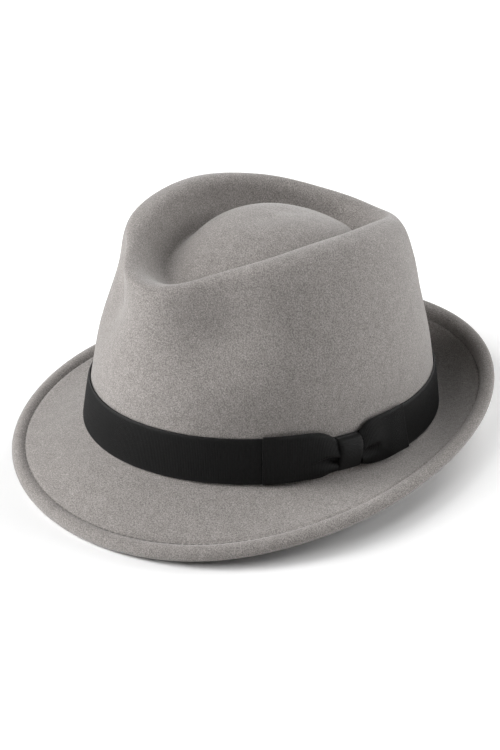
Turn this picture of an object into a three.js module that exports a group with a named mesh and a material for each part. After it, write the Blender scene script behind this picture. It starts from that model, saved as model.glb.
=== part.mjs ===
// Trilby: one hollow body of wool felt with a teardrop crown, pinched beside the nose, and a brim that
// dips in front and curls up at the sides and behind. A ribbon goes round the crown, with a flat bow on
// the wearer's left.
//
// Millimetres, +Z up. The wearer faces -Y, and the wearer's left is +X. The hat is drawn in its own
// frame, with z = 0 where the brim leaves the crown, and then tipped back until it lies on z = 0 by itself.
// Angles go round the hat from the front (0) over the wearer's left (90) to the back (180).

import * as THREE from "three";

// Head and crown
const HEAD_LENGTH = 205.5; // outside of the felt at the crown's foot
const HEAD_WIDTH = 176;
const CROWN_HEIGHT = 116.5; // up to the ridge above the wearer's ear
const FELT_THICKNESS = 2.4;
const BREAK_RADIUS = 1.2; // where the crown turns into the brim
const WALL_SLOPE = -85; // of the crown's foot, in degrees

// Pinches of the crown beside the nose, on the wearer's left and right: their angles are from the front
const PINCH_DEPTH_LEFT = 9;
const PINCH_DEPTH_RIGHT = 15;
const PINCH_ANGLE_LEFT = 37;
const PINCH_ANGLE_RIGHT = 31;
const PINCH_SPREAD_LEFT = 20;
const PINCH_SPREAD_RIGHT = 17;

// Brim and its folded edge
const BRIM_WIDTH = 45;
const WELT_WIDTH = 8.5;
const WELT_THICKNESS = 5;
const STITCH_DEPTH = 0.4; // of the stitched groove inside the fold

// Ribbon and bow
const RIBBON_WIDTH = 24;
const RIBBON_THICKNESS = 1;
const DRAWN_TOP = 4; // how far the knot draws the ribbon's upper and lower edge together
const DRAWN_FOOT = 2;
const DRAWN_REACH = 10; // beyond the knot
const BOW_ANGLE = 79.5; // middle of the knot
const BOW_FRONT_LENGTH = 40;
const BOW_BACK_LENGTH = 34.5;
const BOW_END_HEIGHT = 25.4;
const BOW_THICKNESS = 2;
const BOW_PUFF = 3.5; // how far the halves swell before the knot
const TAIL_FLARE = 3; // how far the rear half's lower corner stands off the ribbon
const KNOT_LENGTH = 14;
const KNOT_HEIGHT = 17.5;
const KNOT_THICKNESS = 6.5;
const KNOT_EDGE = 0.3; // share of its thickness at its upper and lower edge
const CLEARANCE = 0.35; // between pieces that lie on each other

// Fineness of the surfaces
const STEPS_ROUND = 60;
const STEPS_PER_SECTION = 2;
const STEPS_BREAK = 2;
const STEPS_BRIM = 5;
const STEPS_RIBBON = 3;
const STEPS_BOW_ALONG = 8;
const STEPS_BOW_UP = 6;

// Search for the tilt at which the hat lies by itself, in radians
const STEEPEST_TILT = 0.3;
const TILT_HALVINGS = 30;

// Sections of the crown from the top of the dome down to its wall. Reaches to the front and back are
// shares of half the head's length, to the side of half its width, heights of the crown's height, and the
// pinches of their depths.
const CROWN_COLUMNS = ["front", "side", "back", "frontHeight", "sideHeight", "backHeight", "left", "right"];
const CROWN_SECTIONS = {
  domeTop: [-0.03, 0, 0.03, 0.955, 0.955, 0.955, 0, 0],
  domeHalf: [0.205, 0.205, 0.27, 0.925, 0.945, 0.92, 0, 0],
  domeSide: [0.39, 0.375, 0.475, 0.84, 0.89, 0.835, 0, 0],
  groove: [0.575, 0.49, 0.58, 0.71, 0.805, 0.74, 0, 0],
  ridgeInside: [0.67, 0.53, 0.61, 0.755, 0.885, 0.785, 0.1, 0],
  ridgeLip: [0.75, 0.56, 0.65, 0.8, 0.98, 0.84, 0.3, 0],
  ridge: [0.825, 0.605, 0.72, 0.815, 1, 0.865, 0.55, 0.1],
  ridgeOutside: [0.865, 0.705, 0.775, 0.805, 0.98, 0.81, 0.75, 0.3],
  shoulder: [0.88, 0.805, 0.825, 0.75, 0.87, 0.67, 0.9, 0.7],
  wallHigh: [0.885, 0.88, 0.85, 0.61, 0.69, 0.54, 1, 0.8],
  wallMiddle: [0.935, 0.955, 0.905, 0.405, 0.44, 0.37, 0.2, 0.2],
  wallLow: [0.97, 0.96, 0.965, 0.215, 0.215, 0.215, 0, 0],
};
const PINCHES = {
  left: { depth: PINCH_DEPTH_LEFT, middle: PINCH_ANGLE_LEFT, spread: PINCH_SPREAD_LEFT },
  right: { depth: PINCH_DEPTH_RIGHT, middle: -PINCH_ANGLE_RIGHT, spread: PINCH_SPREAD_RIGHT },
};

// How late the top and the foot of each half draw in towards the knot: powers of the way from its cut end
const BOW_FRONT_DRAWN = { top: 4.5, foot: 2 };
const BOW_BACK_DRAWN = { top: 9, foot: 5 };

// How late the halves swell towards the knot, and how early the tail's flare ends along the ribbon and up it
const SWELL_POWER = 4;
const FLARE_POWERS = { along: 3, up: 2 };

// The brim at five stations from the front to the back: how wide it is, as shares of its width, and how
// steeply it rises outwards where it leaves the crown and at its edge, in degrees.
const BRIM_STATIONS = {
  width: [1.01, 0.97, 0.69, 0.7, 0.84],
  slopeInside: [-24, -27, -8, 10, 17],
  slopeOutside: [-51, -14, 23, 58, 63],
};

// Outline of the folded edge from its swell on top round to the cut edge below: how far in from the brim's
// edge, as a share of the fold's width, and how high over the brim's upper side, as a share of its thickness.
const WELT_COLUMNS = ["inward", "height"];
const WELT_OUTLINE = {
  swell: [0.65, 0.13],
  topEdge: [0.4, 0.06],
  upperRound: [0.17, -0.13],
  edge: [0, -0.48],
  lowerRound: [0.09, -0.82],
  lowerEdge: [0.3, -0.98],
  cutEdge: [0.95, -1],
};

const { degToRad, lerp, smoothstep, euclideanModulo } = THREE.MathUtils;
const range = (count) => Array.from({ length: count }, (_, index) => index);
const named = (columns, row) => Object.fromEntries(columns.map((column, index) => [column, row[index]]));
const table = (columns, rows) => Object.values(rows).map((row) => named(columns, row));

// A value that runs smoothly round the hat, the same on both sides, through even stations front to back.
function roundHat(stations, angle) {
  const last = stations.length - 1;
  const endShare = (index) => (index === 0 || index === last ? 0.5 : 1);
  const wave = (order) => {
    const part = (value, index) => endShare(index) * value * Math.cos((Math.PI * order * index) / last);
    const sum = stations.map(part).reduce((total, value) => total + value);
    return (endShare(order) * 2 * sum) / last;
  };
  return range(last + 1).reduce((sum, order) => sum + wave(order) * Math.cos(order * angle), 0);
}

// A point of one section of the crown.
function sectionPoint(section, angle) {
  const cosine = Math.cos(angle);
  const front = (section.front * HEAD_LENGTH) / 2;
  const back = (section.back * HEAD_LENGTH) / 2;
  const x = ((section.side * HEAD_WIDTH) / 2) * Math.sin(angle);
  const y = (back - front) / 2 - ((back + front) / 2) * cosine;
  const level = (section.frontHeight + section.backHeight) / 2;
  const slant = (section.frontHeight - section.backHeight) / 2;
  const height = section.sideHeight + slant * cosine + (level - section.sideHeight) * cosine ** 2;
  const pinch = Object.entries(PINCHES).reduce((sum, [side, { depth, middle, spread }]) => {
    const away = euclideanModulo(angle - degToRad(middle) + Math.PI, 2 * Math.PI) - Math.PI;
    return sum + section[side] * depth * Math.exp(-((away / degToRad(spread)) ** 2));
  }, 0);
  const inward = pinch > 0 ? 1 - pinch / Math.hypot(x, y) : 1;
  return new THREE.Vector3(x * inward, y * inward, height * CROWN_HEIGHT);
}

// The crown's outside at an angle, from the dome's top to the foot, as a smooth curve through its sections.
function crownLine(angle) {
  const low = BREAK_RADIUS / CROWN_HEIGHT;
  const sections = table(CROWN_COLUMNS, { ...CROWN_SECTIONS, foot: [1, 1, 1, low, low, low, 0, 0] });
  const curve = new THREE.CatmullRomCurve3(sections.map((section) => sectionPoint(section, angle)));
  const steps = (sections.length - 1) * STEPS_PER_SECTION;
  return range(steps + 1).map((step) => curve.getPoint(step / steps));
}

// The way out from the crown's foot, level, and square to its oval.
function outward(angle) {
  return new THREE.Vector3(Math.sin(angle) * HEAD_LENGTH, -Math.cos(angle) * HEAD_WIDTH, 0).normalize();
}

// The brim's upper side at an angle. It turns from the crown's wall through the break, then bends evenly
// over its whole width. Gives its points by their distance from the break and their lift off the felt.
function brimLine(angle) {
  const foot = crownLine(angle).at(-1);
  const width = BRIM_WIDTH * roundHat(BRIM_STATIONS.width, angle);
  const wall = degToRad(WALL_SLOPE);
  const inside = degToRad(roundHat(BRIM_STATIONS.slopeInside, angle));
  const outside = degToRad(roundHat(BRIM_STATIONS.slopeOutside, angle));
  const place = (out, up, slope, lift) => {
    const point = foot.clone().addScaledVector(outward(angle), out - lift * Math.sin(slope));
    point.z += up + lift * Math.cos(slope);
    return point;
  };
  const turned = (slope) => ({
    out: BREAK_RADIUS * (Math.sin(slope) - Math.sin(wall)),
    up: BREAK_RADIUS * (Math.cos(wall) - Math.cos(slope)),
  });
  const breakPoint = (share) => {
    const slope = lerp(wall, inside, share);
    return place(turned(slope).out, turned(slope).up, slope, 0);
  };
  const brimPoint = (distance, lift = 0) => {
    const slope = lerp(inside, outside, distance / width);
    const chord = lerp(inside, outside, distance / width / 2);
    const start = turned(inside);
    return place(start.out + distance * Math.cos(chord), start.up + distance * Math.sin(chord), slope, lift);
  };
  return { width, breakPoint, brimPoint };
}

// The outside of the felt at an angle, from the dome's top to the stitched groove in the brim.
function outsideLine(angle) {
  const { width, breakPoint, brimPoint } = brimLine(angle);
  const turn = range(STEPS_BREAK).map((step) => breakPoint((step + 1) / STEPS_BREAK));
  const flat = range(STEPS_BRIM).map((step) => {
    const last = step === STEPS_BRIM - 1;
    return brimPoint(((width - WELT_WIDTH) * (step + 1)) / STEPS_BRIM, last ? -STITCH_DEPTH : 0);
  });
  return [...crownLine(angle), ...turn, ...flat];
}

// The outline of the folded edge at an angle.
function weltLine(angle) {
  const { width, brimPoint } = brimLine(angle);
  return table(WELT_COLUMNS, WELT_OUTLINE).map(({ inward, height }) =>
    brimPoint(width - inward * WELT_WIDTH, height * WELT_THICKNESS),
  );
}

// The normals of a surface drawn as lines side by side round the hat, one at each point.
function normals(lines) {
  return lines.map((line, index) => {
    const left = lines[(index + 1) % lines.length];
    const right = lines.at(index - 1);
    return line.map((_, row) => {
      const along = line[Math.min(row + 1, line.length - 1)].clone().sub(line[Math.max(row - 1, 0)]);
      const across = left[row].clone().sub(right[row]);
      return row === 0 ? new THREE.Vector3(0, 0, 1) : along.cross(across).normalize();
    });
  });
}

// A closed mesh from its corners, with every face given as a loop of corner numbers.
function solid(name, corners, faces, material) {
  const geometry = new THREE.BufferGeometry();
  const numbers = corners.flatMap((corner) => corner.toArray());
  const triangles = ([first, ...rest]) => rest.slice(1).flatMap((next, index) => [first, rest[index], next]);
  geometry.setAttribute("position", new THREE.Float32BufferAttribute(numbers, 3));
  geometry.setIndex(faces.flatMap(triangles));
  geometry.computeVertexNormals();
  const mesh = new THREE.Mesh(geometry, material);
  mesh.name = name;
  return mesh;
}

// Faces between loops of corners that follow each other.
function bandFaces(loops, size, closed) {
  const number = (loop, place) => (loop % loops) * size + (place % size);
  return range(closed ? loops : loops - 1).flatMap((loop) =>
    range(size).map((place) => [
      number(loop, place),
      number(loop, place + 1),
      number(loop + 1, place + 1),
      number(loop + 1, place),
    ]),
  );
}

const felt = new THREE.MeshStandardMaterial({ color: 0x9a9590, roughness: 0.95, metalness: 0 });
const ribbon = new THREE.MeshStandardMaterial({ color: 0x1a1919, roughness: 0.6, metalness: 0 });
const roundAngles = range(STEPS_ROUND).map((step) => (2 * Math.PI * step) / STEPS_ROUND);

// Crown, brim and folded edge: the outside, round the brim's edge, and back along the inside of the felt.
function feltBody() {
  const outside = roundAngles.map(outsideLine);
  const outsideNormals = normals(outside);
  const loops = roundAngles.map((angle, index) => {
    const inside = outside[index].map((point, row) =>
      point.clone().addScaledVector(outsideNormals[index][row], -FELT_THICKNESS),
    );
    return [...outside[index].slice(1), ...weltLine(angle), ...inside.slice(1).reverse()];
  });
  const rows = loops[0].length;
  const top = outside[0][0];
  const roof = top.clone().setZ(top.z - FELT_THICKNESS);
  const corners = [top, roof, ...range(rows).flatMap((row) => loops.map((line) => line[row]))];
  const firstNumber = corners.indexOf(loops[0][0]);
  const number = (row, place) => firstNumber + row * STEPS_ROUND + (place % STEPS_ROUND);
  const wall = range(rows - 1).flatMap((row) =>
    range(STEPS_ROUND).map((place) => [
      number(row, place),
      number(row + 1, place),
      number(row + 1, place + 1),
      number(row, place + 1),
    ]),
  );
  const caps = range(STEPS_ROUND).flatMap((place) => [
    [0, number(0, place), number(0, place + 1)],
    [1, number(rows - 1, place + 1), number(rows - 1, place)],
  ]);
  return solid("felt_body", corners, [...wall, ...caps], felt);
}

// A point over the crown's wall: at a height, and a distance off the felt.
function overWall(angle, height, off) {
  const line = crownLine(angle);
  const above = line.findLastIndex((point) => point.z >= height);
  const upper = line[Math.max(above, 0)];
  const lower = line[Math.min(above + 1, line.length - 1)];
  const share = upper.z > lower.z ? (upper.z - height) / (upper.z - lower.z) : 0;
  return upper.clone().lerp(lower, share).setZ(height).addScaledVector(outward(angle), off);
}

// The oval's radius of turning from one angle to the next.
function turningRadius(angle) {
  return Math.hypot((HEAD_WIDTH / 2) * Math.cos(angle), (HEAD_LENGTH / 2) * Math.sin(angle));
}

// The ribbon, all round the crown's foot, drawn together under the knot.
function ribbonBand() {
  const knotAngle = degToRad(BOW_ANGLE);
  const loops = roundAngles.map((angle) => {
    const away = Math.abs(angle - knotAngle) * turningRadius(knotAngle) - KNOT_LENGTH / 2;
    const drawn = 1 - smoothstep(away, 0, DRAWN_REACH);
    const foot = BREAK_RADIUS + drawn * DRAWN_FOOT;
    const top = BREAK_RADIUS + RIBBON_WIDTH - drawn * DRAWN_TOP;
    const heights = range(STEPS_RIBBON + 1).map((step) => lerp(foot, top, step / STEPS_RIBBON));
    const inner = heights.map((height) => overWall(angle, height, CLEARANCE));
    const outer = heights.map((height) => overWall(angle, height, CLEARANCE + RIBBON_THICKNESS));
    return [...inner, ...outer.reverse()];
  });
  const faces = bandFaces(STEPS_ROUND, loops[0].length, true);
  return solid("ribbon_band", loops.flat(), faces, ribbon);
}

// The angle reached after going a distance round the ribbon from the middle of the knot, towards the back.
function ribbonAngle(distance) {
  const middle = degToRad(BOW_ANGLE);
  const halfway = middle + distance / turningRadius(middle) / 2;
  return middle + distance / turningRadius(halfway);
}

// A curved plate that lies over the ribbon between two distances from the knot's middle. The profile gives,
// at a share of the way along and a share of the way up, its height and how far its inner and its outer
// face stand off the ribbon.
function plate(name, from, to, profile) {
  const bed = CLEARANCE + RIBBON_THICKNESS + CLEARANCE;
  const shares = range(STEPS_BOW_UP + 1).map((row) => row / STEPS_BOW_UP);
  const loops = range(STEPS_BOW_ALONG + 1).map((step) => {
    const along = step / STEPS_BOW_ALONG;
    const angle = ribbonAngle(lerp(from, to, along));
    const point = (up, face) => overWall(angle, profile(along, up).height, bed + profile(along, up)[face]);
    const inner = shares.map((up) => point(up, "under"));
    const outer = shares.map((up) => point(up, "over"));
    return [...inner, ...outer.reverse()];
  });
  const size = loops[0].length;
  const sides = bandFaces(loops.length, size, false);
  const start = range(STEPS_BOW_UP).map((row) => [size - 1 - row, size - 2 - row, row + 1, row]);
  const end = start.map((face) => face.map((corner) => corner + size * STEPS_BOW_ALONG).reverse());
  return solid(name, loops.flat(), [...sides, ...start, ...end], ribbon);
}

const middleHeight = BREAK_RADIUS + (RIBBON_WIDTH + DRAWN_FOOT - DRAWN_TOP) / 2; // of the knot

// One half of the bow: full height and flat at its cut end, swelling and drawn in towards the knot.
function bowHalf(name, from, to, drawn, flare) {
  const halfHeight = (KNOT_HEIGHT - RIBBON_THICKNESS) / 2;
  return plate(name, from, to, (along, up) => {
    const fromEnd = from < 0 ? along : 1 - along;
    const foot = lerp(BREAK_RADIUS, middleHeight - halfHeight, fromEnd ** drawn.foot);
    const top = lerp(BREAK_RADIUS + BOW_END_HEIGHT, middleHeight + halfHeight, fromEnd ** drawn.top);
    const swell = BOW_PUFF * Math.sin(Math.PI * up) * Math.sin(Math.PI * fromEnd ** SWELL_POWER);
    const off = flare * (1 - fromEnd) ** FLARE_POWERS.along * (1 - up) ** FLARE_POWERS.up;
    return { height: lerp(foot, top, up), under: off, over: off + swell + BOW_THICKNESS };
  });
}

// The wrap that gathers the two halves, rounded over its upper and lower edges.
function bowKnot() {
  const foot = middleHeight - KNOT_HEIGHT / 2;
  return plate("bow_knot", -KNOT_LENGTH / 2, KNOT_LENGTH / 2, (along, up) => {
    const round = Math.sqrt(1 - (2 * up - 1) ** 2);
    return { height: foot + up * KNOT_HEIGHT, under: 0, over: KNOT_THICKNESS * lerp(KNOT_EDGE, 1, round) };
  });
}

const knotSide = KNOT_LENGTH / 2 + CLEARANCE;
const hat = new THREE.Group();
hat.add(feltBody());
hat.add(ribbonBand());
hat.add(bowHalf("bow_front", -knotSide - BOW_FRONT_LENGTH, -knotSide, BOW_FRONT_DRAWN, 0));
hat.add(bowHalf("bow_back", knotSide, knotSide + BOW_BACK_LENGTH, BOW_BACK_DRAWN, TAIL_FLARE));
hat.add(bowKnot());

// The tilt at which the lowest point of the front half lies level with the lowest point of the back half,
// found by halving the range that holds it.
function restTilt(points) {
  const lowest = (half, tilt) => {
    const heights = half.map((point) => point.z * Math.cos(tilt) - point.y * Math.sin(tilt));
    return Math.min(...heights);
  };
  const front = points.filter((point) => point.y < 0);
  const back = points.filter((point) => point.y >= 0);
  let low = -STEEPEST_TILT;
  let high = STEEPEST_TILT;
  range(TILT_HALVINGS).forEach(() => {
    const tilt = (low + high) / 2;
    if (lowest(front, tilt) < lowest(back, tilt)) low = tilt;
    else high = tilt;
  });
  return (low + high) / 2;
}

const positions = hat.getObjectByName("felt_body").geometry.getAttribute("position");
const pointAt = (index) => new THREE.Vector3().fromBufferAttribute(positions, index);
const feltPoints = range(positions.count).map(pointAt);
hat.rotation.x = -restTilt(feltPoints);
hat.updateMatrixWorld();
const box = new THREE.Box3().setFromObject(hat, true);
hat.position.set(-(box.min.x + box.max.x) / 2, -(box.min.y + box.max.y) / 2, -box.min.z);

export default hat;
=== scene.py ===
"""Trilby of grey wool felt with a black grosgrain ribbon and a flat side bow, on a pale floor.

Lengths of the hat are in millimetres in its own frame, with z = 0 where the brim leaves the crown, the wearer
facing -Y and the wearer's left at +X. placed() turns them into metres in the shared frame.
Angles go round the hat from the front (0) over the wearer's left (90) to the back (180).
"""
import math

import bpy
import numpy as np
from mathutils import Matrix, Vector


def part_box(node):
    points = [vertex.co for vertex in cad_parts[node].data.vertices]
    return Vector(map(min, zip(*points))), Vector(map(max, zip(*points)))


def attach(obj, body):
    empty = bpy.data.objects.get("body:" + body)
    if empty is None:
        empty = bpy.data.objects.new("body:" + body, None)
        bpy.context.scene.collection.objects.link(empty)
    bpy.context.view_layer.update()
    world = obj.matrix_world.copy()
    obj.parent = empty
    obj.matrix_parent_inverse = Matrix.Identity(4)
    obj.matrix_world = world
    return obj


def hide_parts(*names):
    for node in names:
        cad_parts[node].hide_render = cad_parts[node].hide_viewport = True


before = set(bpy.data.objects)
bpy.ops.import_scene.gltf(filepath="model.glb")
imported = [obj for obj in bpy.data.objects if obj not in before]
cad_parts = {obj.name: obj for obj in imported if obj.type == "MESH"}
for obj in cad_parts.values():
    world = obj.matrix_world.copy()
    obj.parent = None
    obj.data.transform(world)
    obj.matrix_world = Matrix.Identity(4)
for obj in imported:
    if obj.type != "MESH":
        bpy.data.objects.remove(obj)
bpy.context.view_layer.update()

FULL_TURN = 2 * math.pi
MM_PER_M = 1000

# Head and crown
HEAD_LENGTH = 205.5
HEAD_WIDTH = 176
CROWN_HEIGHT = 116.5
FELT_THICKNESS = 2.4
BREAK_RADIUS = 1.2
WALL_SLOPE = -85

# Pinches beside the nose, on the wearer's left and right, with their angles and how far round they spread
PINCHES = (
    {"depth": 9, "angle": 37, "spread": 20},
    {"depth": 15, "angle": -31, "spread": 17},
)

# Brim and its folded edge
BRIM_WIDTH = 45
WELT_WIDTH = 8.5
WELT_THICKNESS = 5
GROOVE_DEPTH = 1
GROOVE_WIDTH = 1.1
CUT_GAP = 0.1

# Ribbon
RIBBON_WIDTH = 24
RIBBON_THICKNESS = 1
DRAWN_TOP = 4
DRAWN_FOOT = 2
DRAWN_REACH = 10
CLEARANCE = 0.35
RIB_PITCH = 0.85
RIB_DEPTH = 0.17

# Bow
BOW_ANGLE = 79.5
BOW_FRONT_LENGTH = 40
BOW_BACK_LENGTH = 34.5
BOW_END_HEIGHT = 25.4
BOW_THICKNESS = 2
BOW_PUFF = 3
TAIL_FLARE = 2
TAIL_RISE = 1.6
KNOT_LENGTH = 14
KNOT_HEIGHT = 17.5
KNOT_THICKNESS = 6.5

# How late the top and the foot of each half draw in towards the knot: powers of the way from its cut end
BOW_FRONT_DRAWN = (7, 2.2)
BOW_BACK_DRAWN = (9, 5)

# Where a half swells on the way from its cut end to the knot, where it sinks again, and by what share
PUFF_REACH = (0.3, 0.85)
SINK_REACH = (0.85, 1)
SINK_SHARE = 0.15

# Shares of a half's thickness at its long edges, at its cut end and at the bottom of its creases
EDGE_SHARE = 0.2
EDGE_POWER = 12
END_SHARE = 0.4
END_REACH = (0, 0.4)
CREASED_SHARE = 0.25
RIB_FADE = (0, 0.03)

# Creases of the halves: the way from the cut end over which each deepens, and how deep it gets. Heights and
# widths are shares of the half's height. Where there are two, the second is the change towards the knot.
FOLD_DEPTH = 4.6
FRONT_FOLD_REACH = (0.55, 0.92)
FRONT_FOLD_HEIGHT = (0.34, 0.05)
FRONT_FOLD_WIDTH = (0.05, 0.03)
FRONT_FOLD_WIDTH_BELOW = 0.18
FRONT_DIP_REACH = (0.78, 1)
FRONT_DIP_DEPTH = 0.3
FRONT_DIP_HEIGHT = 0.84
FRONT_DIP_WIDTH = 0.09
BACK_FOLD_REACH = (0.62, 0.92)
BACK_FOLD_HEIGHT = 0.42
BACK_FOLD_WIDTH = 0.07
BACK_FOLD_WIDTH_BELOW = 0.15
GATHERS_REACH = (0.76, 1)
GATHERS_DEPTH = 0.3
GATHERS_HEIGHT = 0.78
GATHERS_WIDTH = 0.18
GATHERS_COUNT = 13
GATHERS_SLANT = 2.5

# Knot: how round it is up its height, and its shares of thickness at its rims, at its sides and at its foot
KNOT_ROUNDNESS = 2.2
KNOT_RIM_SHARE = 0.3
KNOT_SIDE_SHARE = 0.45
KNOT_SIDE_POWER = 10
KNOT_FOOT_SHARE = 0.3
KNOT_FOOT_REACH = (-0.1, 0.95)

# Stitches of the folded edge
STITCH_LENGTH = 2.4
STITCH_PITCH = 3.6
STITCH_RADIUS = 0.26
STITCH_BREADTH = 1.2
STITCH_SIDES = 6
STITCH_RIM_RADIUS = 118

# Fineness of the surfaces
STEPS_ROUND = 240
STEPS_PER_SECTION = 10
STEPS_BREAK = 4
STEPS_BRIM = 18
STEPS_WELT = 3
STEPS_PER_RIB = 4
STEPS_SEAM = 2000
STEPS_BAND_PATH = 3600
BOW_FRONT_GRID = (190, 49)
BOW_BACK_GRID = (165, 49)
KNOT_GRID = (41, 85)

# Sections of the crown from the top of the dome down to its foot. Each gives its reaches to the front, side
# and back as shares of half the head's length and width, its heights there as shares of the crown's height,
# and its shares of the left and right pinch.
FOOT_HEIGHT = BREAK_RADIUS / CROWN_HEIGHT
CROWN_SECTIONS = {
    "dome_top": (-0.03, 0, 0.03, 0.955, 0.955, 0.955, 0, 0),
    "dome_half": (0.205, 0.205, 0.27, 0.925, 0.945, 0.92, 0, 0),
    "dome_side": (0.39, 0.375, 0.475, 0.84, 0.89, 0.835, 0, 0),
    "groove": (0.575, 0.49, 0.58, 0.71, 0.805, 0.74, 0, 0),
    "ridge_inside": (0.67, 0.53, 0.61, 0.755, 0.885, 0.785, 0.1, 0),
    "ridge_lip": (0.75, 0.56, 0.65, 0.8, 0.98, 0.84, 0.3, 0),
    "ridge": (0.825, 0.605, 0.72, 0.815, 1, 0.865, 0.55, 0.1),
    "ridge_outside": (0.865, 0.705, 0.775, 0.805, 0.98, 0.81, 0.75, 0.3),
    "shoulder": (0.88, 0.805, 0.825, 0.75, 0.87, 0.67, 0.9, 0.7),
    "wall_high": (0.885, 0.88, 0.85, 0.61, 0.69, 0.54, 1, 0.8),
    "wall_low": (0.935, 0.955, 0.905, 0.405, 0.44, 0.37, 0.2, 0.2),
    "ribbon_top": (0.97, 0.96, 0.965, 0.215, 0.215, 0.215, 0, 0),
    "foot": (1, 1, 1, FOOT_HEIGHT, FOOT_HEIGHT, FOOT_HEIGHT, 0, 0),
}

# The brim at five stations from the front to the back
BRIM_WIDTHS = (1.01, 0.97, 0.69, 0.7, 0.84)
BRIM_SLOPES_INSIDE = (-24, -27, -8, 10, 17)
BRIM_SLOPES_OUTSIDE = (-51, -14, 23, 58, 63)

# Waves of a hand-shaped hat: how high each is, how often it comes round the hat, how far it turns on the way
# down (crown only), and where it begins. The crown's waves end at a share of the way down to its foot.
CROWN_WAVES = ((0.35, 3, 9, 0), (0.25, 5, -14, 2), (0.15, 9, 19, 4))
CROWN_WAVES_END = 0.86
BRIM_WAVES = ((0.5, 3, 0.6), (0.35, 5, 2.1), (0.25, 8, 4))

# Outline of the folded edge from the stitched groove round to the cut edge below, as shares of its width
# inwards and of its thickness upwards
WELT_OUTLINE = (
    (1, -0.2),
    (0.87, 0.08),
    (0.65, 0.3),
    (0.4, 0.28),
    (0.17, 0.04),
    (0, -0.42),
    (0.09, -0.82),
    (0.3, -0.98),
    (0.6, -1),
    (0.95, -1),
)

# Seams in the groove and under the fold, in the same shares
SEAMS = ((1, -0.1), (0.8, -1.02))

# Outline of a stitch from end to end: shares of half its length and of its radius
STITCH_OUTLINE = ((-1, 0.15), (-0.85, 0.75), (-0.4, 1), (0.4, 1), (0.85, 0.75), (1, 0.15))

# Outline of the ribbon from its lower inner corner up and down again: shares of its width and of its
# thickness, and how strongly the ribs show
BAND_OUTLINE = (
    (0.02, 0, 0),
    (0.35, 0, 0),
    (0.65, 0, 0),
    (0.98, 0, 0),
    (1, 0.1, 0),
    (1, 0.35, 0),
    (0.985, 0.55, 0),
    (0.96, 0.75, 0.3),
    (0.92, 0.95, 1),
    (0.65, 0.98, 1),
    (0.35, 0.98, 1),
    (0.055, 0.98, 1),
    (0.035, 1.02, 0.3),
    (0.015, 1, 0),
    (0, 0.75, 0),
    (0, 0.35, 0),
)

# Colours from the darkest to the lightest grain: place on the ramp and colour
FELT_FLECKS = (
    (0.34, (0.155, 0.144, 0.136)),
    (0.5, (0.27, 0.251, 0.238)),
    (0.66, (0.405, 0.377, 0.358)),
)
FELT_CLOUDS = ((0.3, (0.86, 0.86, 0.86)), (0.7, (1, 1, 1)))
RIBBON_COLOURS = ((0.3, (0.002, 0.002, 0.002)), (0.7, (0.006, 0.0059, 0.0058)))
# The thread is grey like the felt, but painted darker as the shade in the stitch holes
THREAD_COLOURS_WITH_PAINTED_SHADE = ((0.3, (0.12, 0.113, 0.107)), (0.7, (0.24, 0.226, 0.215)))

# Grains: scale, detail and roughness
FLECK_GRAIN = (1600, 3, 0.7)
CLOUD_GRAIN = (160, 4, 0.6)
NAP_GRAIN = (350, 3, 0.6)
FIBRE_GRAIN = (1800, 2, 0.6)
RIBBON_GRAIN = (900, 3, 0.6)
YARN_GRAIN = (2500, 2, 0.6)
THREAD_GRAIN = (3000, 2, 0.6)

# Relief of those grains: strength, and height in metres
NAP_RELIEF = (0.35, 0.0008)
FIBRE_RELIEF = (0.5, 0.0003)
YARN_RELIEF = (0.4, 0.0002)

FELT_FINISH = {
    "Roughness": 0.95,
    "Specular IOR Level": 0.15,
    "Sheen Weight": 0.3,
    "Sheen Roughness": 0.5,
}
RIBBON_FINISH = {
    "Roughness": 0.6,
    "Specular IOR Level": 0.2,
    "Sheen Weight": 0.04,
    "Sheen Roughness": 0.4,
}
THREAD_FINISH = {"Roughness": 0.8}

# Floor and backdrop
WHITE = (1, 1, 1, 1)
STAGE_COLOUR = (0.9, 0.9, 0.9, 1)
FLOOR_ROUGHNESS = 0.9
FLOOR_REACH = 6
BACKDROP_HEIGHT = 6
BACKDROP_GLOW = 1
WORLD_STRENGTH = 0.02

# Where the floor's soft glow is centred, to the right of the hat's middle and towards the camera, and its two
# steps in metres from there: where each starts, where it is full, and its strength. The second takes over
# where the lights no longer reach.
GLOW_RIGHT = -0.04
GLOW_FORWARD = 0.08
GLOWS = ((0.11, 0.19, 0.22), (0.7, 1.8, 0.75))

# Camera
CAMERA_AZIMUTH = 50.7
CAMERA_ELEVATION = 29.72
CAMERA_ROLL = -3.79
CAMERA_DISTANCE = 1.061
CAMERA_LENS = 93.6
CAMERA_SENSOR = 36
CAMERA_AIM = Vector((-0.0001, -0.0067, 0.0355))

# Lights: how far round from the camera's right towards the camera, how high, and how strong
LIGHT_DISTANCE = 1.6
LIGHT_SIZE = 0.9
LIGHTS = {
    "high_left": (180, 50, 16),
    "low_left": (180, 20, 15),
    "low_right": (0, 20, 16),
    "low_behind": (300, 20, 6),
    "high_right": (330, 50, 4.5),
    "high_front": (135, 50, 7),
}


# Surfaces of the hat

def round_hat(stations, angle):
    """A value that runs smoothly round the hat, alike on both sides, through even stations front to back."""
    last = len(stations) - 1
    total = 0
    for order in range(last + 1):
        wave = 0
        for index, value in enumerate(stations):
            share = 0.5 if index in (0, last) else 1
            wave += share * value * math.cos(math.pi * order * index / last)
        share = 0.5 if order in (0, last) else 1
        total = total + 2 * share * wave / last * np.cos(order * angle)
    return total


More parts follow.
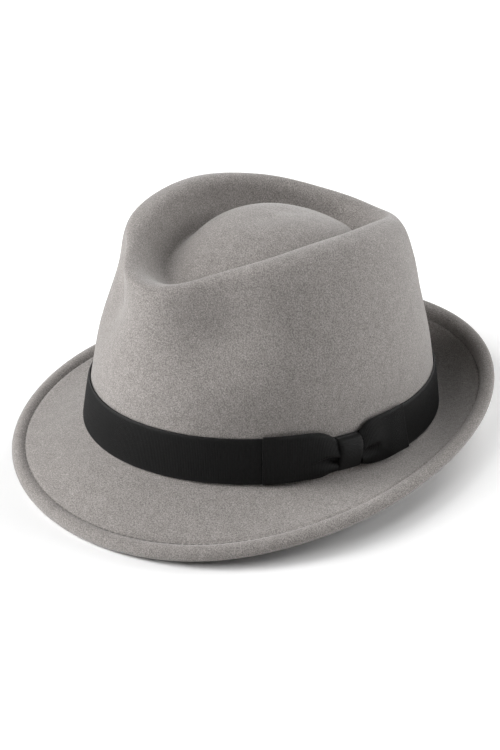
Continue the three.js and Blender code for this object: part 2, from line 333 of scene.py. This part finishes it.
def section_ring(section, angle):
    """Points of one section of the crown, one at each angle."""
    front, side, back, front_height, side_height, back_height, *pinched = section
    cosine = np.cos(angle)
    front = front * HEAD_LENGTH / 2
    back = back * HEAD_LENGTH / 2
    x = side * HEAD_WIDTH / 2 * np.sin(angle)
    y = (back - front) / 2 - (back + front) / 2 * cosine
    level = (front_height + back_height) / 2
    slant = (front_height - back_height) / 2
    height = side_height + slant * cosine + (level - side_height) * cosine**2
    depth = 0
    for share, pinch in zip(pinched, PINCHES):
        away = (angle - math.radians(pinch["angle"]) + math.pi) % FULL_TURN - math.pi
        depth = depth + share * pinch["depth"] * np.exp(-((away / math.radians(pinch["spread"])) ** 2))
    inward = 1 - depth / np.maximum(np.hypot(x, y), 1)
    return np.stack([x * inward, y * inward, height * CROWN_HEIGHT], -1)


def smooth_rows(rows, steps):
    """Centripetal curves through rows of points, with some steps from each row to the next."""
    rows = np.asarray(rows, float)
    rows = np.concatenate([2 * rows[:1] - rows[1:2], rows, 2 * rows[-1:] - rows[-2:-1]])
    gaps = np.sqrt(np.linalg.norm(np.diff(rows, axis=0), axis=-1, keepdims=True))
    result = []
    for index in range(1, len(rows) - 2):
        p0, p1, p2, p3 = rows[index - 1 : index + 3]
        g0, g1, g2 = gaps[index - 1 : index + 2]
        start = (p1 - p0) / g0 - (p2 - p0) / (g0 + g1) + (p2 - p1) / g1
        end = (p2 - p1) / g1 - (p3 - p1) / (g1 + g2) + (p3 - p2) / g2
        start = start * g1
        end = end * g1
        for step in range(steps):
            t = step / steps
            cubic = (2 * p1 - 2 * p2 + start + end) * t**3
            square = (-3 * p1 + 3 * p2 - 2 * start - end) * t**2
            result.append(cubic + square + start * t + p1)
    result.append(rows[-2])
    return np.array(result)


def crown_rows(angle, steps=STEPS_PER_SECTION):
    return smooth_rows([section_ring(section, angle) for section in CROWN_SECTIONS.values()], steps)


def outward(angle):
    """The way out from the crown's foot, level, and square to its oval."""
    way = np.stack([np.sin(angle) * HEAD_LENGTH, -np.cos(angle) * HEAD_WIDTH, 0 * angle], -1)
    return way / np.linalg.norm(way, axis=-1, keepdims=True)


def brim_wave(angle, distance):
    """How far the hand-shaped brim rises over its even shape."""
    share = np.clip(distance / BRIM_WIDTH, 0, 1) ** 2
    return share * sum(high * np.cos(often * angle + begins) for high, often, begins in BRIM_WAVES)


def brim_width(angle):
    return BRIM_WIDTH * round_hat(BRIM_WIDTHS, angle)


def brim_point(angle, distance, lift=0, turn=None):
    """Points of the brim's upper side at a distance from the break. A turn from 0 to 1 gives the break."""
    foot = section_ring(CROWN_SECTIONS["foot"], angle)
    wall_slope = math.radians(WALL_SLOPE)
    inside = np.radians(round_hat(BRIM_SLOPES_INSIDE, angle))
    outside = np.radians(round_hat(BRIM_SLOPES_OUTSIDE, angle))
    share = distance / brim_width(angle)
    slope = inside + (outside - inside) * share
    chord = inside + (outside - inside) * share / 2
    bend = inside if turn is None else wall_slope + (inside - wall_slope) * turn
    out = BREAK_RADIUS * (np.sin(bend) - math.sin(wall_slope)) + distance * np.cos(chord)
    up = BREAK_RADIUS * (math.cos(wall_slope) - np.cos(bend)) + distance * np.sin(chord)
    lift = lift + brim_wave(angle, distance)
    if turn is not None:
        slope = bend
    point = foot + outward(angle) * (out - lift * np.sin(slope))[..., None]
    point[..., 2] += up + lift * np.cos(slope)
    return point


def grid_normals(grid):
    """Outward normals of rows of points that run round the hat."""
    along = np.gradient(grid, axis=0)
    across = np.roll(grid, -1, 1) - np.roll(grid, 1, 1)
    normal = np.cross(along, across)
    length = np.linalg.norm(normal, axis=-1, keepdims=True)
    normal = normal / np.maximum(length, 1e-9)
    normal[0] = (0, 0, 1)
    return normal


def crown_unevenness(angle, share):
    """How far the hand-shaped crown stands off its even shape, at a share of the way from top to foot."""
    window = np.sin(math.pi * np.clip(share / CROWN_WAVES_END, 0, 1)) ** 2
    wave = 0
    for high, often, turns, begins in CROWN_WAVES:
        wave = wave + high * np.cos(often * angle + turns * share + begins)
    return window * wave


# Meshes

TILT_LIMIT = 0.3
TILT_HALVINGS = 40


def rest_tilt(points):
    """The tilt at which the lowest point of the front half lies level with that of the back half."""
    low, high = -TILT_LIMIT, TILT_LIMIT
    front = points[points[:, 1] < 0]
    back = points[points[:, 1] >= 0]
    for _ in range(TILT_HALVINGS):
        tilt = (low + high) / 2
        cosine, sine = math.cos(tilt), math.sin(tilt)
        front_low, back_low = (np.min(half[:, 2] * cosine - half[:, 1] * sine) for half in (front, back))
        low, high = (tilt, high) if front_low < back_low else (low, tilt)
    return tilt


def tipped(points):
    y = points[..., 1] * math.cos(tilt) + points[..., 2] * math.sin(tilt)
    z = points[..., 2] * math.cos(tilt) - points[..., 1] * math.sin(tilt)
    return np.stack([points[..., 0], y, z], -1)


def placed(points):
    """From the hat's own frame in millimetres to the shared frame in metres."""
    return (tipped(np.asarray(points, float)) + shift) / MM_PER_M


def make_piece(name, points, faces, material, slot, node=None):
    mesh = bpy.data.meshes.new(name)
    mesh.from_pydata(placed(points).tolist(), [], [list(map(int, face)) for face in faces])
    mesh.validate()
    mesh.shade_smooth()
    mesh.materials.append(material)
    piece = bpy.data.objects.new(name, mesh)
    bpy.context.scene.collection.objects.link(piece)
    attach(piece, "root")
    if node:
        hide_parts(node)


def ring_faces(rows, size, first=0):
    """Faces between closed rings of corners that follow each other."""
    row, place = np.meshgrid(np.arange(rows - 1), np.arange(size), indexing="ij")
    here = first + row * size + place
    beside = first + row * size + (place + 1) % size
    return np.stack([here, here + size, beside + size, beside], -1).reshape(-1, 4)


def travelled_along(path):
    """The distance gone along a path at each of its points."""
    return np.concatenate([[0], np.cumsum(np.linalg.norm(np.diff(path, axis=0), axis=1))])


# Materials

def new_material(name, finish):
    material = bpy.data.materials.new(name)
    material.use_nodes = True
    shader = material.node_tree.nodes["Principled BSDF"]
    for socket, value in finish.items():
        shader.inputs[socket].default_value = value
    return material, material.node_tree, shader


def noise(tree, grain):
    scale, detail, roughness = grain
    place = tree.nodes.new("ShaderNodeTexCoord").outputs["Object"]
    texture = tree.nodes.new("ShaderNodeTexNoise")
    texture.inputs["Scale"].default_value = scale
    texture.inputs["Detail"].default_value = detail
    texture.inputs["Roughness"].default_value = roughness
    tree.links.new(place, texture.inputs["Vector"])
    return texture.outputs[0]


def grain_colour(tree, grain, stops):
    """A colour for each grain, over stops with a place on the ramp and a colour."""
    ramp = tree.nodes.new("ShaderNodeValToRGB")
    elements = ramp.color_ramp.elements
    while len(elements) < len(stops):
        elements.new(0.5)
    for element, (position, colour) in zip(elements, stops):
        element.position = position
        element.color = (*colour, 1)
    tree.links.new(noise(tree, grain), ramp.inputs["Fac"])
    return ramp.outputs["Color"]


def multiply_colours(tree, first, second):
    mix = tree.nodes.new("ShaderNodeMix")
    mix.data_type = "RGBA"
    mix.blend_type = "MULTIPLY"
    mix.inputs["Factor"].default_value = 1
    tree.links.new(first, mix.inputs["A"])
    tree.links.new(second, mix.inputs["B"])
    return mix.outputs["Result"]


def grain_relief(tree, grain, relief, below=None):
    strength, height = relief
    bump = tree.nodes.new("ShaderNodeBump")
    bump.inputs["Strength"].default_value = strength
    bump.inputs["Distance"].default_value = height
    tree.links.new(noise(tree, grain), bump.inputs["Height"])
    if below:
        tree.links.new(below, bump.inputs["Normal"])
    return bump.outputs["Normal"]


def felt_material():
    material, tree, shader = new_material("wool_felt", FELT_FINISH)
    flecks = grain_colour(tree, FLECK_GRAIN, FELT_FLECKS)
    clouds = grain_colour(tree, CLOUD_GRAIN, FELT_CLOUDS)
    tree.links.new(multiply_colours(tree, flecks, clouds), shader.inputs["Base Color"])
    nap = grain_relief(tree, NAP_GRAIN, NAP_RELIEF)
    tree.links.new(grain_relief(tree, FIBRE_GRAIN, FIBRE_RELIEF, nap), shader.inputs["Normal"])
    return material


def ribbon_material():
    material, tree, shader = new_material("grosgrain_ribbon", RIBBON_FINISH)
    tree.links.new(grain_colour(tree, RIBBON_GRAIN, RIBBON_COLOURS), shader.inputs["Base Color"])
    tree.links.new(grain_relief(tree, YARN_GRAIN, YARN_RELIEF), shader.inputs["Normal"])
    return material


def thread_material():
    material, tree, shader = new_material("thread", THREAD_FINISH)
    # Thread painted darker than the felt, standing in for the shade in the stitch holes
    tree.links.new(grain_colour(tree, THREAD_GRAIN, THREAD_COLOURS_WITH_PAINTED_SHADE), shader.inputs["Base Color"])
    return material


felt = felt_material()
ribbon = ribbon_material()
thread = thread_material()


# Crown, brim and folded edge: the outside, round the brim's edge, and back along the inside of the felt

angles = np.arange(STEPS_ROUND) / STEPS_ROUND * FULL_TURN


def welt_row(angle, inward, height):
    return brim_point(angle, brim_width(angle) - inward * WELT_WIDTH, height * WELT_THICKNESS)


def felt_outside(angle):
    """Rows of the outside, from the dome's top to just inside the stitched groove."""
    crown = crown_rows(angle)
    shares = np.linspace(0, 1, len(crown))[:, None]
    crown = crown + grid_normals(crown) * crown_unevenness(angle[None], shares)[..., None]
    turns = [brim_point(angle, 0 * angle, turn=(step + 1) / STEPS_BREAK) for step in range(STEPS_BREAK)]
    reach = brim_width(angle) - WELT_WIDTH - GROOVE_WIDTH
    flats = [brim_point(angle, reach * (step + 1) / STEPS_BRIM) for step in range(STEPS_BRIM)]
    return np.concatenate([crown, turns, flats])


def make_felt():
    outside = felt_outside(angles)
    groove = welt_row(angles, 1, -GROOVE_DEPTH / WELT_THICKNESS)
    outside_to_groove = np.concatenate([outside, groove[None]])
    inside = outside_to_groove - grid_normals(outside_to_groove) * FELT_THICKNESS
    outline = smooth_rows(np.array(WELT_OUTLINE)[:, None, :], STEPS_WELT)[:, 0]
    welt = np.array([welt_row(angles, inward, height) for inward, height in outline])
    cut = welt_row(angles, WELT_OUTLINE[-1][0], -(FELT_THICKNESS + CUT_GAP) / WELT_THICKNESS)
    rows = np.concatenate([outside[1:], welt, cut[None], inside[1:-1][::-1]])
    top = outside[0].mean(0)
    roof = top - np.array([0, 0, FELT_THICKNESS])
    points = np.concatenate([rows.reshape(-1, 3), [top, roof]])
    faces = list(ring_faces(len(rows), STEPS_ROUND))
    last = (len(rows) - 1) * STEPS_ROUND
    for place in range(STEPS_ROUND):
        beside = (place + 1) % STEPS_ROUND
        faces.append((len(points) - 2, place, beside))
        faces.append((len(points) - 1, last + beside, last + place))
    return points, faces


felt_points, felt_faces = make_felt()
tilt = rest_tilt(felt_points)
lowest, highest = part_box("felt_body")
tilted = tipped(felt_points)
centre = (np.array(lowest) + np.array(highest)) / 2 * MM_PER_M
shift = centre - (tilted.min(0) + tilted.max(0)) / 2
shift[2] = -tilted[:, 2].min()
make_piece("felt_hat", felt_points, felt_faces, felt, "wool_felt", "felt_body")


# Stitches along the groove and along the fold's cut edge below

def make_stitches():
    count = int(round(FULL_TURN * STITCH_RIM_RADIUS / STITCH_PITCH))
    turns = np.linspace(0, FULL_TURN, STEPS_SEAM + 1)
    ring = np.arange(STITCH_SIDES) / STITCH_SIDES * FULL_TURN
    shares, radii = np.array(STITCH_OUTLINE).T
    points, faces = [], []
    for inward, height in SEAMS:
        path = welt_row(turns, inward, height)
        travelled = travelled_along(path)
        for index in range(count):
            middle = travelled[-1] * (index + 0.5) / count
            spots = (middle + shares * STITCH_LENGTH / 2) % travelled[-1]
            spine = np.stack([np.interp(spots, travelled, path[:, axis]) for axis in range(3)], -1)
            way = spine[-1] - spine[0]
            way /= np.linalg.norm(way)
            side = np.cross(way, (0, 0, 1))
            side /= np.linalg.norm(side)
            over = np.cross(side, way)
            first = len(points)
            for spot, radius in zip(spine, radii * STITCH_RADIUS):
                for around in ring:
                    aside = side * math.cos(around) * STITCH_BREADTH
                    points.append(spot + radius * (aside + over * math.sin(around)))
            last = len(points) - STITCH_SIDES
            faces += [tuple(face) for face in ring_faces(len(spine), STITCH_SIDES, first)]
            faces.append(tuple(range(first, first + STITCH_SIDES)))
            faces.append(tuple(range(last, last + STITCH_SIDES))[::-1])
    return np.array(points), faces


stitch_points, stitch_faces = make_stitches()
make_piece("rim_stitches", stitch_points, stitch_faces, thread, "wool_felt")


# Wall of the crown under the ribbon

WALL_TURNS = 720
WALL_STEP = 0.5
WALL_LEVELS = 70
WALL_LEVEL_LIMIT = WALL_LEVELS - 1.001
WALL_STEPS_PER_SECTION = 24
WALL_ROWS = 60


def wall_table():
    """Where the crown's wall is, at even turns round it and even heights above the break."""
    turns = np.arange(WALL_TURNS) / WALL_TURNS * FULL_TURN
    heights = np.arange(WALL_LEVELS) * WALL_STEP
    rows = crown_rows(turns, WALL_STEPS_PER_SECTION)[::-1][:WALL_ROWS]
    table = np.empty((WALL_TURNS, WALL_LEVELS, 2))
    for turn in range(WALL_TURNS):
        for axis in range(2):
            table[turn, :, axis] = np.interp(heights, rows[:, turn, 2], rows[:, turn, axis])
    return table


wall = wall_table()


def over_wall(angle, height, off):
    """Points over the crown's wall, at heights, and distances off the felt."""
    angle, height, off = np.broadcast_arrays(angle, height, off)
    turn = angle / FULL_TURN * WALL_TURNS
    level = np.clip(height / WALL_STEP, 0, WALL_LEVEL_LIMIT)
    near, low = np.floor(turn).astype(int), np.floor(level).astype(int)
    aside, above = (turn - near)[..., None], (level - low)[..., None]
    near, far = near % WALL_TURNS, (near + 1) % WALL_TURNS
    lower = wall[near, low] * (1 - aside) + wall[far, low] * aside
    upper = wall[near, low + 1] * (1 - aside) + wall[far, low + 1] * aside
    level_place = lower * (1 - above) + upper * above
    return np.concatenate([level_place, height[..., None]], -1) + outward(angle) * off[..., None]


def turning_radius(angle):
    return np.hypot(HEAD_WIDTH / 2 * np.cos(angle), HEAD_LENGTH / 2 * np.sin(angle))


def ribbon_angle(distance):
    """The angle reached after going a distance round the ribbon from the middle of the knot, to the back."""
    middle = math.radians(BOW_ANGLE)
    halfway = middle + distance / turning_radius(middle) / 2
    return middle + distance / turning_radius(halfway)


def smooth_step(value, low, high):
    share = np.clip((value - low) / (high - low), 0, 1)
    return share * share * (3 - 2 * share)


# Ribbon

def make_band():
    turns = np.linspace(0, FULL_TURN, STEPS_BAND_PATH + 1)
    travelled = travelled_along(over_wall(turns, BREAK_RADIUS + RIBBON_WIDTH / 2, 0))
    ribs = int(round(travelled[-1] / RIB_PITCH))
    columns = ribs * STEPS_PER_RIB
    around = np.interp(np.arange(columns) / columns * travelled[-1], travelled, turns)
    rib = RIB_DEPTH * np.cos(np.arange(columns) / STEPS_PER_RIB * FULL_TURN)
    knot_angle = math.radians(BOW_ANGLE)
    away = np.abs(around - knot_angle) * turning_radius(knot_angle) - KNOT_LENGTH / 2
    drawn = 1 - smooth_step(away, 0, DRAWN_REACH)
    foot = BREAK_RADIUS + drawn * DRAWN_FOOT
    top = BREAK_RADIUS + RIBBON_WIDTH - drawn * DRAWN_TOP
    rows = []
    for share, thick, ribbed in BAND_OUTLINE:
        off = CLEARANCE + thick * RIBBON_THICKNESS + ribbed * rib
        rows.append(over_wall(around, foot + share * (top - foot), off))
    rows = np.array(rows)
    faces = ring_faces(len(rows), columns)
    last = ring_faces(2, columns)
    last = np.where(last >= columns, last - columns, last + (len(rows) - 1) * columns)
    return rows.reshape(-1, 3), list(faces) + list(last)


band_points, band_faces = make_band()
make_piece("ribbon_round", band_points, band_faces, ribbon, "grosgrain_ribbon", "ribbon_band")


# Bow

MIDDLE_HEIGHT = BREAK_RADIUS + (RIBBON_WIDTH + DRAWN_FOOT - DRAWN_TOP) / 2


def make_plate(start, end, grid, profile):
    """A curved plate over the ribbon between two distances from the knot's middle.

    The profile gives the height above the break, and how far the inner and the outer face stand off the
    ribbon, at shares along and up.
    """
    columns, rows = grid
    bed = 2 * CLEARANCE + RIBBON_THICKNESS
    along = np.linspace(0, 1, columns)[:, None]
    up = np.linspace(0, 1, rows)[None, :]
    height, under, over = np.broadcast_arrays(*profile(along, up))
    turn = ribbon_angle(start + (end - start) * along)
    inner = over_wall(turn, height, bed + under)
    outer = over_wall(turn, height, bed + over)
    loops = np.concatenate([inner, outer[:, ::-1]], axis=1)
    size = 2 * rows
    loop, place = np.meshgrid(np.arange(columns - 1), np.arange(size), indexing="ij")
    here = loop * size + place
    beside = loop * size + (place + 1) % size
    faces = list(np.stack([here, beside, beside + size, here + size], -1).reshape(-1, 4))
    for row in range(rows - 1):
        cap = [size - 1 - row, size - 2 - row, row + 1, row]
        faces.append(cap)
        faces.append([corner + size * (columns - 1) for corner in cap[::-1]])
    return loops.reshape(-1, 3), faces


def ribs_at(distance):
    return RIB_DEPTH * np.cos(FULL_TURN * distance / RIB_PITCH)


def rounded(share, power):
    """1 over most of the way from 0 to 1, falling to 0 at both ends, the later the higher the power."""
    return np.sqrt(np.clip(1 - np.abs(2 * share - 1) ** power, 0, 1))


def crease(up, at, width, width_below=None):
    """1 along the middle of a crease, falling to 0 beside it, with another width below it if one is given."""
    if width_below is not None:
        width = np.where(up > at, width, width_below)
    return np.exp(-(((up - at) / width) ** 2))


def front_creases(from_end, up):
    """Creases of the front half before the knot: a deep fold under its belly, and a dip near its top."""
    near_knot = smooth_step(from_end, *FRONT_FOLD_REACH)
    height = FRONT_FOLD_HEIGHT[0] + FRONT_FOLD_HEIGHT[1] * near_knot
    width = FRONT_FOLD_WIDTH[0] + FRONT_FOLD_WIDTH[1] * near_knot
    fold = FOLD_DEPTH * near_knot * crease(up, height, width, FRONT_FOLD_WIDTH_BELOW)
    dip_share = smooth_step(from_end, *FRONT_DIP_REACH)
    dip = FRONT_DIP_DEPTH * dip_share * crease(up, FRONT_DIP_HEIGHT, FRONT_DIP_WIDTH)
    return fold + dip


def back_creases(from_end, up):
    """Creases of the rear half: a deep fold at mid height, and gathers above it that fan out."""
    near_knot = smooth_step(from_end, *BACK_FOLD_REACH)
    fold = FOLD_DEPTH * near_knot * crease(up, BACK_FOLD_HEIGHT, BACK_FOLD_WIDTH, BACK_FOLD_WIDTH_BELOW)
    fan = smooth_step(from_end, *GATHERS_REACH) * crease(up, GATHERS_HEIGHT, GATHERS_WIDTH)
    gathers = 1 + np.cos(FULL_TURN * (GATHERS_COUNT * up + GATHERS_SLANT * (1 - from_end)))
    return fold + GATHERS_DEPTH * fan * gathers


def bow_half(start, end, grid, drawn, creases, tail=0):
    half_height = (KNOT_HEIGHT - RIBBON_THICKNESS) / 2
    end_top = BREAK_RADIUS + BOW_END_HEIGHT
    length = end - start

    def profile(along, up):
        from_end = along if start < 0 else 1 - along
        top_drawn, foot_drawn = (from_end**power for power in drawn)
        foot = BREAK_RADIUS + (MIDDLE_HEIGHT - half_height - BREAK_RADIUS) * foot_drawn
        foot = foot + tail * TAIL_RISE * (1 - from_end) ** 2
        top = end_top + (MIDDLE_HEIGHT + half_height - end_top) * top_drawn
        height = foot + up * (top - foot)
        puff = smooth_step(from_end, *PUFF_REACH) * (1 - SINK_SHARE * smooth_step(from_end, *SINK_REACH))
        swell = BOW_PUFF * np.sin(math.pi * up) * puff
        under = tail * TAIL_FLARE * (1 - from_end) ** 3 * (1 - up) ** 2
        ribs = ribs_at(along * length) * smooth_step(up * (1 - up), *RIB_FADE)
        at_edge = EDGE_SHARE + (1 - EDGE_SHARE) * rounded(up, EDGE_POWER)
        at_end = END_SHARE + (1 - END_SHARE) * smooth_step(from_end, *END_REACH)
        thick = swell + BOW_THICKNESS * at_edge * at_end - creases(from_end, up)
        return height, under, under + np.maximum(thick, CREASED_SHARE * BOW_THICKNESS) + ribs

    return make_plate(start, end, grid, profile)


def bow_knot():
    foot = MIDDLE_HEIGHT - KNOT_HEIGHT / 2

    def profile(along, up):
        at_rim = KNOT_RIM_SHARE + (1 - KNOT_RIM_SHARE) * rounded(up, KNOT_ROUNDNESS)
        at_side = KNOT_SIDE_SHARE + (1 - KNOT_SIDE_SHARE) * rounded(along, KNOT_SIDE_POWER)
        at_foot = KNOT_FOOT_SHARE + (1 - KNOT_FOOT_SHARE) * smooth_step(up, *KNOT_FOOT_REACH)
        over = (KNOT_THICKNESS * at_rim * at_side + ribs_at(up * KNOT_HEIGHT)) * at_foot
        return foot + up * KNOT_HEIGHT + 0 * along, 0 * over, over

    return make_plate(-KNOT_LENGTH / 2, KNOT_LENGTH / 2, KNOT_GRID, profile)


KNOT_SIDE = KNOT_LENGTH / 2 + CLEARANCE
BOW_FRONT_END = -KNOT_SIDE - BOW_FRONT_LENGTH
BOW_BACK_END = KNOT_SIDE + BOW_BACK_LENGTH
front_half = bow_half(BOW_FRONT_END, -KNOT_SIDE, BOW_FRONT_GRID, BOW_FRONT_DRAWN, front_creases)
back_half = bow_half(KNOT_SIDE, BOW_BACK_END, BOW_BACK_GRID, BOW_BACK_DRAWN, back_creases, tail=1)
make_piece("bow_front_half", *front_half, ribbon, "grosgrain_ribbon", "bow_front")
make_piece("bow_back_half", *back_half, ribbon, "grosgrain_ribbon", "bow_back")
make_piece("bow_wrap", *bow_knot(), ribbon, "grosgrain_ribbon", "bow_knot")


# Camera

azimuth = math.radians(CAMERA_AZIMUTH)
elevation = math.radians(CAMERA_ELEVATION)
roll = math.radians(CAMERA_ROLL)
up_way = Vector((0, 0, 1))
level_right = Vector((math.cos(azimuth), math.sin(azimuth), 0))
level_back = Vector((math.sin(azimuth), -math.cos(azimuth), 0))
camera_back = level_back * math.cos(elevation) + up_way * math.sin(elevation)
level_up = camera_back.cross(level_right)
camera_right = level_right * math.cos(roll) + level_up * math.sin(roll)


def aimed(right, over, back, place):
    matrix = Matrix((right, over, back)).transposed().to_4x4()
    matrix.translation = place
    return matrix


camera_data = bpy.data.cameras.new("camera")
camera_data.lens = CAMERA_LENS
camera_data.sensor_width = CAMERA_SENSOR
camera_data.sensor_height = CAMERA_SENSOR
camera_data.sensor_fit = "VERTICAL"
camera = bpy.data.objects.new("camera", camera_data)
camera_place = CAMERA_AIM + camera_back * CAMERA_DISTANCE
camera.matrix_world = aimed(camera_right, camera_back.cross(camera_right), camera_back, camera_place)
bpy.context.scene.collection.objects.link(camera)
bpy.context.scene.camera = camera


# Lights

def area_light(name, place, power):
    light = bpy.data.lights.new(name, "AREA")
    light.shape = "DISK"
    light.size = LIGHT_SIZE
    light.energy = power
    lamp = bpy.data.objects.new(name, light)
    back = (place - CAMERA_AIM).normalized()
    right = up_way.cross(back).normalized()
    lamp.matrix_world = aimed(right, back.cross(right), back, place)
    bpy.context.scene.collection.objects.link(lamp)


for light_name, (light_round, light_height, light_power) in LIGHTS.items():
    turn, height = math.radians(light_round), math.radians(light_height)
    level_way = level_right * math.cos(turn) + level_back * math.sin(turn)
    light_way = level_way * math.cos(height) + up_way * math.sin(height)
    area_light(light_name, light_way * LIGHT_DISTANCE, light_power)

world = bpy.data.worlds.new("studio")
bpy.context.scene.world = world
world.use_nodes = True
world.node_tree.nodes["Background"].inputs["Color"].default_value = WHITE
world.node_tree.nodes["Background"].inputs["Strength"].default_value = WORLD_STRENGTH
bpy.context.scene.view_settings.view_transform = "Standard"


# Floor that glows softly away from the hat, and a white backdrop round it that is seen but lights nothing

def floor_material():
    finish = {"Base Color": STAGE_COLOUR, "Roughness": FLOOR_ROUGHNESS, "Emission Color": WHITE}
    material, tree, shader = new_material("pale_floor", finish)
    from_centre = tree.nodes.new("ShaderNodeVectorMath")
    from_centre.operation = "DISTANCE"
    from_centre.inputs[1].default_value = level_right * GLOW_RIGHT + level_back * GLOW_FORWARD
    place = tree.nodes.new("ShaderNodeTexCoord").outputs["Object"]
    tree.links.new(place, from_centre.inputs[0])
    both = tree.nodes.new("ShaderNodeMath")
    both.operation = "ADD"
    for socket, (starts, full, strength) in zip(both.inputs, GLOWS):
        glow = tree.nodes.new("ShaderNodeMapRange")
        glow.interpolation_type = "SMOOTHSTEP"
        tree.links.new(from_centre.outputs["Value"], glow.inputs["Value"])
        glow.inputs["From Min"].default_value = starts
        glow.inputs["From Max"].default_value = full
        glow.inputs["To Max"].default_value = strength
        tree.links.new(glow.outputs["Result"], socket)
    tree.links.new(both.outputs["Value"], shader.inputs["Emission Strength"])
    return material


def backdrop_material():
    finish = {"Base Color": STAGE_COLOUR, "Emission Color": WHITE, "Emission Strength": BACKDROP_GLOW}
    return new_material("white_backdrop", finish)[0]


def stage_object(name, corners, faces, material):
    mesh = bpy.data.meshes.new(name)
    mesh.from_pydata(corners, [], faces)
    mesh.materials.append(material)
    stage_piece = bpy.data.objects.new(name, mesh)
    bpy.context.scene.collection.objects.link(stage_piece)
    return stage_piece


floor_corners = [(x * FLOOR_REACH, y * FLOOR_REACH, 0) for x, y in ((-1, -1), (1, -1), (1, 1), (-1, 1))]
floor = stage_object("floor", floor_corners, [(0, 1, 2, 3)], floor_material())

raised_corners = [(x, y, BACKDROP_HEIGHT) for x, y, _ in floor_corners]
walls = [(side, (side + 1) % 4, (side + 1) % 4 + 4, side + 4) for side in range(4)]
ceiling = (4, 5, 6, 7)
backdrop = stage_object("backdrop", floor_corners + raised_corners, walls + [ceiling], backdrop_material())
backdrop.visible_diffuse = False
backdrop.visible_glossy = False
backdrop.visible_shadow = False
